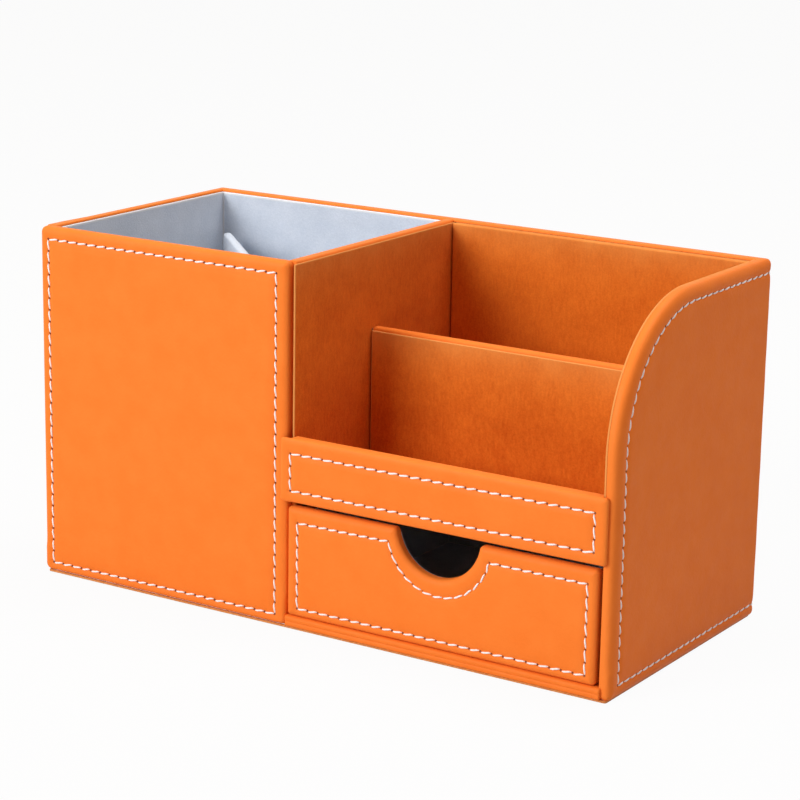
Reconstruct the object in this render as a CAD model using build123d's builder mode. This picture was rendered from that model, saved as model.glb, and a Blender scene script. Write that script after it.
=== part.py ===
from build123d import *
import os
from math import atan2, degrees, hypot

# Desk storage box with a pen cup, two letter slots and a drawer.
# Thin fibreboard walls are wrapped in padded leather and lined with suede or flannelette cards.
# Millimetres, +X to the right, +Y to the back, +Z up.
# The origin is the middle of the footprint, on the desk.

# Overall sizes
width = 250.0
depth = 115.0
height = 137.2
cup_width = 116.8

# Side panel
side_setback = 1.0
side_corner_r = 52.0

# Front rail of the slots
rail_bottom = 49.0
rail_height = 24.0
rail_proud = 1.2
rail_lap = 1.8

# Slot divider
slot_divider_top = 105.0
slot_divider_y = -3.8

# Cup divider, two crossing boards
cup_divider_drop = 15.7
cup_divider_corner_gap = 11.5

# Finger cut in the drawer front
finger_r = 17.5
finger_depth = 15.4

# Thicknesses of boards
board = 3.0
back_board_t = 4.0
slot_divider_board_t = 2.4
cup_divider_board_t = 2.0
drawer_board_t = 2.5
drawer_bottom_t = 2.0

# Thicknesses of covers and cards
padded = 1.2
edge_leather = 0.8
thin_leather = 0.6
lining = 0.8
suede = 0.8
back_suede_t = 3.0
base_sheet_t = 1.4

# Setbacks, laps and running gaps
card_drop = 0.9
base_sheet_inset = 0.8
panel_step = 1.8
bay_lining_inset = 2.0
drawer_floor_gap = 0.3
drawer_stop_gap = 0.3
drawer_side_gap = 0.8
drawer_rear_gap = 2.0
drawer_top_gap = 1.7
drawer_left_gap = 0.7
drawer_right_gap = 1.4
drawer_side_drop = 2.0
cross_slot_gap = 0.15

# Rounding of the leather edges
wrap_r = 2.0
panel_corner_r = 2.0
panel_edge_r = 1.8
rail_edge_r = 1.0
ledge_top_r = 1.3
ledge_bottom_r = 0.7
base_corner_r = 2.0

# Planes across the width
left_x = -width / 2
right_x = width / 2
left_in = left_x + padded + board
right_in = right_x - padded - board
partition_right = left_x + cup_width
partition_left = partition_right - board - 2 * thin_leather
panel_right = partition_right - panel_step
cup_x0 = left_in + lining
cup_x1 = partition_left - lining
slot_x0 = partition_right + suede
slot_x1 = right_in - suede

# Planes from front to back
overall_depth = depth + rail_proud
rail_front = -overall_depth / 2
front_y = rail_front + rail_proud
back_y = overall_depth / 2
panel_back = front_y + padded + board
back_in = back_y - padded - back_board_t
side_front = front_y + side_setback
cup_y0 = panel_back + lining
cup_y1 = back_in - lining
rail_board_back = front_y + board
rail_back = rail_board_back + thin_leather
slot_y0 = rail_back + suede
slot_y1 = back_in - back_suede_t
divider_board_y0 = slot_divider_y - slot_divider_board_t / 2
divider_board_y1 = slot_divider_y + slot_divider_board_t / 2
divider_wrap_y0 = divider_board_y0 - thin_leather
divider_wrap_y1 = divider_board_y1 + thin_leather
divider_y0 = divider_wrap_y0 - suede
divider_y1 = divider_wrap_y1 + suede

# Planes from the desk up
base_z = base_sheet_t
base_top = base_z + board
cup_floor = base_top + lining
bay_floor = base_top + thin_leather
rail_top = rail_bottom + rail_height
shelf_top = rail_bottom + board
board_top = height - edge_leather
card_top = height - card_drop
cup_divider_top = height - cup_divider_drop

# Drawer front
front_x0 = panel_right + drawer_left_gap
front_x1 = right_in - drawer_right_gap
front_y1 = panel_back - drawer_stop_gap
drawer_z0 = bay_floor + drawer_floor_gap
drawer_top = rail_bottom - drawer_top_gap
finger_x = (front_x0 + front_x1) / 2
finger_z = drawer_top - finger_depth + finger_r

# Drawer box behind its front
bay_right = right_in - thin_leather
box_x0 = partition_right + drawer_side_gap
box_x1 = bay_right - drawer_side_gap
box_y1 = back_in - drawer_rear_gap
box_top = drawer_top - drawer_side_drop
side_x0 = box_x0 + thin_leather
side_x1 = box_x1 - thin_leather
inner_x0 = side_x0 + drawer_board_t
inner_x1 = side_x1 - drawer_board_t
tail_y1 = box_y1 - thin_leather
inner_y1 = tail_y1 - drawer_board_t
drawer_floor = drawer_z0 + drawer_bottom_t
lined_x0 = inner_x0 + lining
lined_x1 = inner_x1 - lining
lined_y0 = front_y1 + lining
lined_y1 = inner_y1 - lining

# Cup divider, laid along the cup's two diagonals
cross_x = (cup_x0 + cup_x1) / 2
cross_y = (cup_y0 + cup_y1) / 2
cross_angle = degrees(atan2(cup_y1 - cup_y0, cup_x1 - cup_x0))
cross_length = hypot(cup_x1 - cup_x0, cup_y1 - cup_y0) - 2 * cup_divider_corner_gap
cross_cover_t = cup_divider_board_t + 2 * lining
cross_middle = (cup_floor + cup_divider_top) / 2


def span(a0, a1, b0, b1):
    """Draw a rectangle between two pairs of limits in the open sketch."""
    with Locations(((a0 + a1) / 2, (b0 + b1) / 2)):
        Rectangle(a1 - a0, b1 - b0)


def rounded_span(a0, a1, b0, b1, radius):
    """Draw a rectangle with round corners between two pairs of limits in the open sketch."""
    with Locations(((a0 + a1) / 2, (b0 + b1) / 2)):
        RectangleRounded(a1 - a0, b1 - b0, radius)


def side_outline(inset, bottom):
    """Draw the side panel's outline with its round front top corner, drawn in by an inset."""
    front_edge = side_front + inset
    top_edge = height - inset
    radius = side_corner_r - inset
    with BuildLine() as outline:
        Line((front_edge, bottom), (back_in, bottom))
        Line((back_in, bottom), (back_in, top_edge))
        Line((back_in, top_edge), (front_edge + radius, top_edge))
        CenterArc((front_edge + radius, top_edge - radius), radius, 90, 90)
        Line((front_edge, top_edge - radius), (front_edge, bottom))
    make_face(outline.edges())


def finger_cut(grow):
    """Cut the half-round finger hole from the open sketch, larger by an amount."""
    with Locations((finger_x, finger_z)):
        Circle(finger_r + grow, mode=Mode.SUBTRACT)


def cross_outline(half_length, bottom, top, slot_half, slot_bottom, slot_top):
    """Draw one board of the cup divider, with the slot where it crosses the other board."""
    span(-half_length, half_length, bottom, top)
    with Locations((0, (slot_bottom + slot_top) / 2)):
        Rectangle(2 * slot_half, slot_top - slot_bottom, mode=Mode.SUBTRACT)


os.makedirs("parts", exist_ok=True)

# Base: a sheet under the whole box, a board, and leather over the drawer bay's floor and ledge

with BuildPart() as base_sheet:
    with BuildSketch(Plane.XY):
        rounded_span(
            left_x + base_sheet_inset,
            right_x - base_sheet_inset,
            front_y + base_sheet_inset,
            back_y - base_sheet_inset,
            base_corner_r,
        )
    extrude(amount=base_sheet_t)
base_sheet.part.label = "base_sheet"
export_step(base_sheet.part, "parts/base_sheet.step")

with BuildPart() as base_board:
    with BuildSketch(Plane.XY.offset(base_z)):
        span(left_in, right_in, panel_back, back_in)
        span(panel_right, right_in, front_y + edge_leather, panel_back)
    extrude(amount=board)
base_board.part.label = "base_board"
export_step(base_board.part, "parts/base_board.step")

with BuildPart() as base_ledge_leather:
    with BuildSketch(Plane.XY.offset(base_z)):
        span(panel_right, right_in, front_y, panel_back)
        span(partition_right, right_in, panel_back, back_in)
    extrude(amount=bay_floor - base_z)
    ledge_edges = base_ledge_leather.faces().sort_by(Axis.Y)[0].edges().filter_by(Axis.X)
    fillet(ledge_edges.sort_by(Axis.Z)[-1], radius=ledge_top_r)
    ledge_edges = base_ledge_leather.faces().sort_by(Axis.Y)[0].edges().filter_by(Axis.X)
    fillet(ledge_edges.sort_by(Axis.Z)[0], radius=ledge_bottom_r)
    with BuildSketch(Plane.XY.offset(base_z)):
        span(panel_right, right_in, front_y + edge_leather, back_in)
    extrude(amount=board, mode=Mode.SUBTRACT)
base_ledge_leather.part.label = "base_ledge_leather"
export_step(base_ledge_leather.part, "parts/base_ledge_leather.step")

# Outer walls: three boards inside one padded leather sheet that goes round the back corners

with BuildPart() as left_board:
    with BuildSketch(Plane.XY.offset(base_z)):
        span(left_x + padded, left_in, panel_back, back_in)
    extrude(amount=board_top - base_z)
left_board.part.label = "left_board"
export_step(left_board.part, "parts/left_board.step")

with BuildPart() as back_board:
    with BuildSketch(Plane.XY.offset(base_z)):
        span(left_x + padded, right_x - padded, back_in, back_y - padded)
    extrude(amount=board_top - base_z)
back_board.part.label = "back_board"
export_step(back_board.part, "parts/back_board.step")

with BuildPart() as right_board:
    with BuildSketch(Plane.YZ.offset(right_in)):
        side_outline(edge_leather, base_z)
    extrude(amount=board)
right_board.part.label = "right_board"
export_step(right_board.part, "parts/right_board.step")

with BuildPart() as body_wrap_leather:
    with BuildSketch(Plane.YZ.offset(right_in)):
        side_outline(0, base_z)
    extrude(amount=right_x - right_in)
    with BuildSketch(Plane.XY.offset(base_z)):
        span(left_x, left_in, panel_back, back_in)
        span(left_x, right_x, back_in, back_y)
    extrude(amount=height - base_z)
    left_face_edges = body_wrap_leather.faces().sort_by(Axis.X)[0].edges()
    back_face_edges = body_wrap_leather.faces().sort_by(Axis.Y)[-1].edges()
    right_face_edges = body_wrap_leather.faces().sort_by(Axis.X)[-1].edges()
    soft_edges = [
        left_face_edges.sort_by(Axis.Z)[-1],
        *back_face_edges.sort_by(Axis.Z)[1:],
        *right_face_edges.sort_by(Axis.Z)[1:].filter_by(lambda edge: edge.center().Y < back_in),
    ]
    fillet(soft_edges, radius=wrap_r)
    add(left_board.part, mode=Mode.SUBTRACT)
    add(back_board.part, mode=Mode.SUBTRACT)
    add(right_board.part, mode=Mode.SUBTRACT)
body_wrap_leather.part.label = "body_wrap_leather"
export_step(body_wrap_leather.part, "parts/body_wrap_leather.step")

# Cup front: its own board, wrapped on the face and all four edges

with BuildPart() as cup_front_board:
    with BuildSketch(Plane.XZ.offset(-panel_back)):
        span(
            left_x + edge_leather,
            panel_right - edge_leather,
            base_z + edge_leather,
            board_top,
        )
    extrude(amount=board)
cup_front_board.part.label = "cup_front_board"
export_step(cup_front_board.part, "parts/cup_front_board.step")

with BuildPart() as cup_front_leather:
    with BuildSketch(Plane.XZ.offset(-panel_back)):
        rounded_span(left_x, panel_right, base_z, height, panel_corner_r)
    extrude(amount=board + padded)
    fillet(cup_front_leather.faces().sort_by(Axis.Y)[0].edges(), radius=panel_edge_r)
    add(cup_front_board.part, mode=Mode.SUBTRACT)
cup_front_leather.part.label = "cup_front_leather"
export_step(cup_front_leather.part, "parts/cup_front_leather.step")

# Partition between the cup and the slots, with leather folded over its front and top edges

with BuildPart() as partition_board:
    with BuildSketch(Plane.XY.offset(base_top)):
        span(
            partition_left + thin_leather,
            partition_right - thin_leather,
            panel_back + edge_leather,
            back_in,
        )
    extrude(amount=board_top - base_top)
partition_board.part.label = "partition_board"
export_step(partition_board.part, "parts/partition_board.step")

with BuildPart() as partition_leather:
    with BuildSketch(Plane.XY.offset(base_top)):
        span(partition_left, partition_right, panel_back, back_in)
    extrude(amount=height - base_top)
    add(partition_board.part, mode=Mode.SUBTRACT)
    with BuildSketch(Plane.XY.offset(base_top)):
        span(partition_right - thin_leather, partition_right, panel_back, back_in)
    extrude(amount=thin_leather, mode=Mode.SUBTRACT)
partition_leather.part.label = "partition_leather"
export_step(partition_leather.part, "parts/partition_leather.step")

# Cup linings: flannelette cards on the four walls and the floor

with BuildPart() as cup_left_lining:
    with BuildSketch(Plane.XY.offset(base_top)):
        span(left_in, cup_x0, panel_back, back_in)
    extrude(amount=card_top - base_top)
cup_left_lining.part.label = "cup_left_lining"
export_step(cup_left_lining.part, "parts/cup_left_lining.step")

with BuildPart() as cup_right_lining:
    with BuildSketch(Plane.XY.offset(base_top)):
        span(cup_x1, partition_left, panel_back, back_in)
    extrude(amount=card_top - base_top)
cup_right_lining.part.label = "cup_right_lining"
export_step(cup_right_lining.part, "parts/cup_right_lining.step")

with BuildPart() as cup_front_lining:
    with BuildSketch(Plane.XY.offset(base_top)):
        span(cup_x0, cup_x1, panel_back, cup_y0)
    extrude(amount=card_top - base_top)
cup_front_lining.part.label = "cup_front_lining"
export_step(cup_front_lining.part, "parts/cup_front_lining.step")

with BuildPart() as cup_back_lining:
    with BuildSketch(Plane.XY.offset(base_top)):
        span(cup_x0, cup_x1, cup_y1, back_in)
    extrude(amount=card_top - base_top)
cup_back_lining.part.label = "cup_back_lining"
export_step(cup_back_lining.part, "parts/cup_back_lining.step")

with BuildPart() as cup_floor_lining:
    with BuildSketch(Plane.XY.offset(base_top)):
        span(cup_x0, cup_x1, cup_y0, cup_y1)
    extrude(amount=lining)
cup_floor_lining.part.label = "cup_floor_lining"
export_step(cup_floor_lining.part, "parts/cup_floor_lining.step")

# Cup divider: two covered boards halved together, board A slotted from above, board B from below

cross_origin = (cross_x, cross_y, 0)
cross_dir_a = Vector(1, 0, 0).rotate(Axis.Z, -cross_angle)
cross_dir_b = Vector(1, 0, 0).rotate(Axis.Z, cross_angle)
cross_plane_a = Plane(cross_origin, x_dir=cross_dir_a, z_dir=cross_dir_a.cross(Vector(0, 0, 1)))
cross_plane_b = Plane(cross_origin, x_dir=cross_dir_b, z_dir=cross_dir_b.cross(Vector(0, 0, 1)))
cross_half = cross_length / 2
cross_slot_half = cross_cover_t / 2 + cross_slot_gap

with BuildPart() as cup_divider_board_a:
    with BuildSketch(cross_plane_a):
        cross_outline(
            cross_half - lining,
            cup_floor + lining,
            cup_divider_top - lining,
            cross_slot_half + lining,
            cross_middle - lining,
            cup_divider_top,
        )
    extrude(amount=cup_divider_board_t / 2, both=True)
cup_divider_board_a.part.label = "cup_divider_board_a"
export_step(cup_divider_board_a.part, "parts/cup_divider_board_a.step")

with BuildPart() as cup_divider_cover_a:
    with BuildSketch(cross_plane_a):
        cross_outline(
            cross_half,
            cup_floor,
            cup_divider_top,
            cross_slot_half,
            cross_middle,
            cup_divider_top + lining,
        )
    extrude(amount=cross_cover_t / 2, both=True)
    add(cup_divider_board_a.part, mode=Mode.SUBTRACT)
cup_divider_cover_a.part.label = "cup_divider_cover_a"
export_step(cup_divider_cover_a.part, "parts/cup_divider_cover_a.step")

with BuildPart() as cup_divider_board_b:
    with BuildSketch(cross_plane_b):
        cross_outline(
            cross_half - lining,
            cup_floor + lining,
            cup_divider_top - lining,
            cross_slot_half + lining,
            cup_floor,
            cross_middle + lining,
        )
    extrude(amount=cup_divider_board_t / 2, both=True)
cup_divider_board_b.part.label = "cup_divider_board_b"
export_step(cup_divider_board_b.part, "parts/cup_divider_board_b.step")

with BuildPart() as cup_divider_cover_b:
    with BuildSketch(cross_plane_b):
        cross_outline(
            cross_half,
            cup_floor,
            cup_divider_top,
            cross_slot_half,
            cup_floor - lining,
            cross_middle,
        )
    extrude(amount=cross_cover_t / 2, both=True)
    add(cup_divider_board_b.part, mode=Mode.SUBTRACT)
cup_divider_cover_b.part.label = "cup_divider_cover_b"
export_step(cup_divider_cover_b.part, "parts/cup_divider_cover_b.step")

# Slots: the shelf board over the drawer, and suede cards on its floor and on the three walls

with BuildPart() as shelf_board:
    with BuildSketch(Plane.XY.offset(rail_bottom)):
        span(partition_right, right_in, rail_back, back_in)
    extrude(amount=board)
shelf_board.part.label = "shelf_board"
export_step(shelf_board.part, "parts/shelf_board.step")

with BuildPart() as front_slot_floor:
    with BuildSketch(Plane.XY.offset(shelf_top)):
        span(slot_x0, slot_x1, slot_y0, divider_y0)
    extrude(amount=suede)
front_slot_floor.part.label = "front_slot_floor"
export_step(front_slot_floor.part, "parts/front_slot_floor.step")

with BuildPart() as rear_slot_floor:
    with BuildSketch(Plane.XY.offset(shelf_top)):
        span(slot_x0, slot_x1, divider_y1, slot_y1)
    extrude(amount=suede)
rear_slot_floor.part.label = "rear_slot_floor"
export_step(rear_slot_floor.part, "parts/rear_slot_floor.step")

with BuildPart() as partition_suede:
    with BuildSketch(Plane.XY.offset(shelf_top)):
        span(partition_right, slot_x0, side_front + card_drop, back_in)
    extrude(amount=card_top - shelf_top)
partition_suede.part.label = "partition_suede"
export_step(partition_suede.part, "parts/partition_suede.step")

with BuildPart() as right_suede:
    with BuildSketch(Plane.YZ.offset(slot_x1)):
        side_outline(card_drop, shelf_top)
    extrude(amount=suede)
right_suede.part.label = "right_suede"
export_step(right_suede.part, "parts/right_suede.step")

with BuildPart() as back_suede:
    with BuildSketch(Plane.XY.offset(shelf_top)):
        span(slot_x0, slot_x1, slot_y1, back_in)
    extrude(amount=card_top - shelf_top)
back_suede.part.label = "back_suede"
export_step(back_suede.part, "parts/back_suede.step")

# Slot divider: a board under a leather strip, with a suede card on each face

with BuildPart() as slot_divider_board:
    with BuildSketch(Plane.XY.offset(shelf_top)):
        span(slot_x0, slot_x1, divider_board_y0, divider_board_y1)
    extrude(amount=slot_divider_top - edge_leather - shelf_top)
slot_divider_board.part.label = "slot_divider_board"
export_step(slot_divider_board.part, "parts/slot_divider_board.step")

with BuildPart() as slot_divider_leather:
    with BuildSketch(Plane.XY.offset(shelf_top)):
        span(slot_x0, slot_x1, divider_wrap_y0, divider_wrap_y1)
    extrude(amount=slot_divider_top - shelf_top)
    add(slot_divider_board.part, mode=Mode.SUBTRACT)
slot_divider_leather.part.label = "slot_divider_leather"
export_step(slot_divider_leather.part, "parts/slot_divider_leather.step")

with BuildPart() as slot_divider_front_suede:
    with BuildSketch(Plane.XY.offset(shelf_top)):
        span(slot_x0, slot_x1, divider_y0, divider_wrap_y0)
    extrude(amount=slot_divider_top - card_drop - shelf_top)
slot_divider_front_suede.part.label = "slot_divider_front_suede"
export_step(slot_divider_front_suede.part, "parts/slot_divider_front_suede.step")

with BuildPart() as slot_divider_rear_suede:
    with BuildSketch(Plane.XY.offset(shelf_top)):
        span(slot_x0, slot_x1, divider_wrap_y1, divider_y1)
    extrude(amount=slot_divider_top - card_drop - shelf_top)
slot_divider_rear_suede.part.label = "slot_divider_rear_suede"
export_step(slot_divider_rear_suede.part, "parts/slot_divider_rear_suede.step")

# Front rail: a board wrapped in padded leather that laps over the neighbours at both ends

with BuildPart() as rail_board:
    with BuildSketch(Plane.XZ.offset(-rail_board_back)):
        span(slot_x0, slot_x1, rail_bottom + edge_leather, rail_top - edge_leather)
    extrude(amount=board)
rail_board.part.label = "rail_board"
export_step(rail_board.part, "parts/rail_board.step")

with BuildPart() as rail_leather:
    with BuildSketch(Plane.XZ.offset(-front_y)):
        rounded_span(
            panel_right - rail_lap,
            right_in + rail_lap,
            rail_bottom,
            rail_top,
            panel_corner_r,
        )
    extrude(amount=rail_proud)
    fillet(rail_leather.faces().sort_by(Axis.Y)[0].edges(), radius=rail_edge_r)
    with BuildSketch(Plane.XZ.offset(-rail_back)):
        span(slot_x0, slot_x1, rail_bottom, rail_top)
    extrude(amount=rail_back - front_y)
    add(rail_board.part, mode=Mode.SUBTRACT)
rail_leather.part.label = "rail_leather"
export_step(rail_leather.part, "parts/rail_leather.step")

with BuildPart() as rail_suede:
    with BuildSketch(Plane.XY.offset(shelf_top)):
        span(slot_x0, slot_x1, rail_back, slot_y0)
    extrude(amount=rail_top - card_drop - shelf_top)
rail_suede.part.label = "rail_suede"
export_step(rail_suede.part, "parts/rail_suede.step")

with BuildPart() as bay_right_lining:
    with BuildSketch(Plane.XY.offset(bay_floor)):
        span(bay_right, right_in, side_front + bay_lining_inset, back_in)
    extrude(amount=rail_bottom - bay_floor)
bay_right_lining.part.label = "bay_right_lining"
export_step(bay_right_lining.part, "parts/bay_right_lining.step")

# Drawer front: a board with the finger cut, wrapped in padded leather on its face and edges

with BuildPart() as drawer_front_board:
    with BuildSketch(Plane.XZ.offset(-front_y1)):
        span(
            front_x0 + edge_leather,
            front_x1 - edge_leather,
            drawer_z0 + edge_leather,
            drawer_top - edge_leather,
        )
        finger_cut(edge_leather)
    extrude(amount=board)
drawer_front_board.part.label = "drawer_front_board"
export_step(drawer_front_board.part, "parts/drawer_front_board.step")

with BuildPart() as drawer_front_leather:
    with BuildSketch(Plane.XZ.offset(-front_y1)):
        rounded_span(front_x0, front_x1, drawer_z0, drawer_top, panel_corner_r)
        finger_cut(0)
    extrude(amount=board + padded)
    fillet(drawer_front_leather.faces().sort_by(Axis.Y)[0].edges(), radius=panel_edge_r)
    add(drawer_front_board.part, mode=Mode.SUBTRACT)
drawer_front_leather.part.label = "drawer_front_leather"
export_step(drawer_front_leather.part, "parts/drawer_front_leather.step")

with BuildPart() as drawer_front_lining:
    with BuildSketch(Plane.XZ.offset(-lined_y0)):
        span(inner_x0, inner_x1, drawer_floor, box_top)
        finger_cut(card_drop)
    extrude(amount=lining)
drawer_front_lining.part.label = "drawer_front_lining"
export_step(drawer_front_lining.part, "parts/drawer_front_lining.step")

# Drawer box: four thin boards, one thin leather sheet round three sides, and lining cards

with BuildPart() as drawer_bottom_board:
    with BuildSketch(Plane.XY.offset(drawer_z0)):
        span(inner_x0, inner_x1, front_y1, inner_y1)
    extrude(amount=drawer_bottom_t)
drawer_bottom_board.part.label = "drawer_bottom_board"
export_step(drawer_bottom_board.part, "parts/drawer_bottom_board.step")

with BuildPart() as drawer_left_board:
    with BuildSketch(Plane.XY.offset(drawer_z0)):
        span(side_x0, inner_x0, front_y1, inner_y1)
    extrude(amount=box_top - thin_leather - drawer_z0)
drawer_left_board.part.label = "drawer_left_board"
export_step(drawer_left_board.part, "parts/drawer_left_board.step")

with BuildPart() as drawer_right_board:
    with BuildSketch(Plane.XY.offset(drawer_z0)):
        span(inner_x1, side_x1, front_y1, inner_y1)
    extrude(amount=box_top - thin_leather - drawer_z0)
drawer_right_board.part.label = "drawer_right_board"
export_step(drawer_right_board.part, "parts/drawer_right_board.step")

with BuildPart() as drawer_back_board:
    with BuildSketch(Plane.XY.offset(drawer_z0)):
        span(side_x0, side_x1, inner_y1, tail_y1)
    extrude(amount=box_top - thin_leather - drawer_z0)
drawer_back_board.part.label = "drawer_back_board"
export_step(drawer_back_board.part, "parts/drawer_back_board.step")

with BuildPart() as drawer_wrap_leather:
    with BuildSketch(Plane.XY.offset(drawer_z0)):
        span(box_x0, inner_x0, front_y1, box_y1)
        span(inner_x1, box_x1, front_y1, box_y1)
        span(box_x0, box_x1, inner_y1, box_y1)
    extrude(amount=box_top - drawer_z0)
    add(drawer_left_board.part, mode=Mode.SUBTRACT)
    add(drawer_right_board.part, mode=Mode.SUBTRACT)
    add(drawer_back_board.part, mode=Mode.SUBTRACT)
drawer_wrap_leather.part.label = "drawer_wrap_leather"
export_step(drawer_wrap_leather.part, "parts/drawer_wrap_leather.step")

with BuildPart() as drawer_left_lining:
    with BuildSketch(Plane.XY.offset(drawer_floor)):
        span(inner_x0, lined_x0, lined_y0, lined_y1)
    extrude(amount=box_top - card_drop - drawer_floor)
drawer_left_lining.part.label = "drawer_left_lining"
export_step(drawer_left_lining.part, "parts/drawer_left_lining.step")

with BuildPart() as drawer_right_lining:
    with BuildSketch(Plane.XY.offset(drawer_floor)):
        span(lined_x1, inner_x1, lined_y0, lined_y1)
    extrude(amount=box_top - card_drop - drawer_floor)
drawer_right_lining.part.label = "drawer_right_lining"
export_step(drawer_right_lining.part, "parts/drawer_right_lining.step")

with BuildPart() as drawer_back_lining:
    with BuildSketch(Plane.XY.offset(drawer_floor)):
        span(inner_x0, inner_x1, lined_y1, inner_y1)
    extrude(amount=box_top - card_drop - drawer_floor)
drawer_back_lining.part.label = "drawer_back_lining"
export_step(drawer_back_lining.part, "parts/drawer_back_lining.step")

with BuildPart() as drawer_floor_lining:
    with BuildSketch(Plane.XY.offset(drawer_floor)):
        span(lined_x0, lined_x1, lined_y0, lined_y1)
    extrude(amount=lining)
drawer_floor_lining.part.label = "drawer_floor_lining"
export_step(drawer_floor_lining.part, "parts/drawer_floor_lining.step")
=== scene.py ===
from math import radians

import bmesh
import bpy
import numpy as np
from mathutils import Matrix


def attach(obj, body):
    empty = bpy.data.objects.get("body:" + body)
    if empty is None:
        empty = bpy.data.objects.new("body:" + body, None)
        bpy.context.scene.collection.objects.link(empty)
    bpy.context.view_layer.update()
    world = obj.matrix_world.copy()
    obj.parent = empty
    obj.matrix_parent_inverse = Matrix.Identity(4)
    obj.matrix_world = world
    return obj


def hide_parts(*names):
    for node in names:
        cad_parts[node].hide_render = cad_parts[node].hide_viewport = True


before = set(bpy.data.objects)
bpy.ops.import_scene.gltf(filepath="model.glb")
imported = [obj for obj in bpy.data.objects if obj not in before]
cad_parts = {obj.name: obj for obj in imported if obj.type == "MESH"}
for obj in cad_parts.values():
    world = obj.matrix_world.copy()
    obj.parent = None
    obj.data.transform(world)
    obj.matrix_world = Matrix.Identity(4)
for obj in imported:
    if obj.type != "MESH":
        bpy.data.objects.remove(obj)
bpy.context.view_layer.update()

# Desk storage box: a pen cup, two letter slots and a drawer, in boards covered with padded leather.
# Sizes are in millimetres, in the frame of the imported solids: +X right, +Y back, +Z up, desk at zero.
# A mesh is turned to metres when it is made.

# Camera
# A long lens from the front right, a little above the box, at the photograph's angle.
# The position, the angles and the slight tilt were fitted to the box's straight edges.

camera_place = (0.5054, -0.7821, 0.3141)
camera_turn, camera_fall, camera_tilt = 32.754, 14.306, 1.014

camera_data = bpy.data.cameras.new("camera")
camera_data.lens = 114.56
camera_data.sensor_width = 36.0
camera_data.clip_start = 0.05
camera_data.clip_end = 20.0
camera = bpy.data.objects.new("camera", camera_data)
camera.matrix_world = (
    Matrix.Translation(camera_place)
    @ Matrix.Rotation(radians(camera_turn), 4, "Z")
    @ Matrix.Rotation(radians(90 - camera_fall), 4, "X")
    @ Matrix.Rotation(radians(camera_tilt), 4, "Z")
)
bpy.context.scene.collection.objects.link(camera)
bpy.context.scene.camera = camera
bpy.context.scene.view_settings.view_transform = "Standard"

# Studio
# A white room with a faint warm light, a pale paper floor that runs out of sight, large soft lamps at
# the front left and above, and a weak one at the right, so that the side is darker than the front.


def linear(code):
    """Turn an sRGB hex colour into linear red, green, blue and alpha."""
    channels = np.array([int(code[i : i + 2], 16) for i in (1, 3, 5)]) / 255
    low = channels / 12.92
    high = ((channels + 0.055) / 1.055) ** 2.4
    return (*np.where(channels <= 0.04045, low, high).tolist(), 1.0)


def add_node(tree, kind, inputs=(), **settings):
    """Add a node with its settings, and fill inputs by name or number with values or sockets."""
    node = tree.nodes.new(kind)
    for key, value in settings.items():
        setattr(node, key, value)
    for key, value in dict(inputs).items():
        if isinstance(value, bpy.types.NodeSocket):
            tree.links.new(value, node.inputs[key])
        else:
            node.inputs[key].default_value = value
    return node


def empty_material(name):
    """Start a material with no nodes but its output."""
    material = bpy.data.materials.new(name)
    material.use_nodes = True
    tree = material.node_tree
    tree.nodes.clear()
    return material, tree, tree.nodes.new("ShaderNodeOutputMaterial")


def seen_share(tree):
    """One for rays that see the background, straight or by way of a mirror or glass, else none.

    It is the greatest of the camera, glossy and transmission ray marks.
    """
    ray = add_node(tree, "ShaderNodeLightPath").outputs
    straight = {0: ray["Is Camera Ray"], 1: ray["Is Glossy Ray"]}
    either = add_node(tree, "ShaderNodeMath", straight, operation="MAXIMUM")
    through = {0: either.outputs[0], 1: ray["Is Transmission Ray"]}
    return add_node(tree, "ShaderNodeMath", through, operation="MAXIMUM").outputs[0]


world = bpy.data.worlds.new("white_room")
world.use_nodes = True
room = world.node_tree
room.nodes.clear()
room_light = add_node(room, "ShaderNodeBackground", {"Color": linear("#FFE2C6"), "Strength": 0.28})
room_white = add_node(room, "ShaderNodeBackground", {"Color": (1, 1, 1, 1), "Strength": 1.0})
room_mix = add_node(
    room, "ShaderNodeMixShader", {0: seen_share(room), 1: room_light.outputs[0], 2: room_white.outputs[0]}
)
add_node(room, "ShaderNodeOutputWorld", {"Surface": room_mix.outputs[0]})
bpy.context.scene.world = world

# To the camera the floor is nearly as white as the room and takes only a faint shadow; to the
# object it is plain pale paper.
floor_material, tree, output = empty_material("white_paper_floor")
paper = add_node(tree, "ShaderNodeBsdfDiffuse", {"Color": (0.6, 0.6, 0.6, 1)})
glow = add_node(tree, "ShaderNodeEmission", {"Color": (1, 1, 1, 1), "Strength": 1.0})
share = add_node(tree, "ShaderNodeMath", {0: seen_share(tree), 1: 0.95}, operation="MULTIPLY")
mixed = {0: share.outputs[0], 1: paper.outputs[0], 2: glow.outputs[0]}
paper_mix = add_node(tree, "ShaderNodeMixShader", mixed)
tree.links.new(paper_mix.outputs[0], output.inputs["Surface"])

floor_reach = 4
floor_corners = [(x * floor_reach, y * floor_reach, 0) for x, y in ((-1, -1), (1, -1), (1, 1), (-1, 1))]
floor_mesh = bpy.data.meshes.new("floor")
floor_mesh.from_pydata(floor_corners, [], [(0, 1, 2, 3)])
floor_mesh.materials.append(floor_material)
floor = bpy.data.objects.new("floor", floor_mesh)
bpy.context.scene.collection.objects.link(floor)

lit_point = (0, 0, 0.06)


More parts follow.
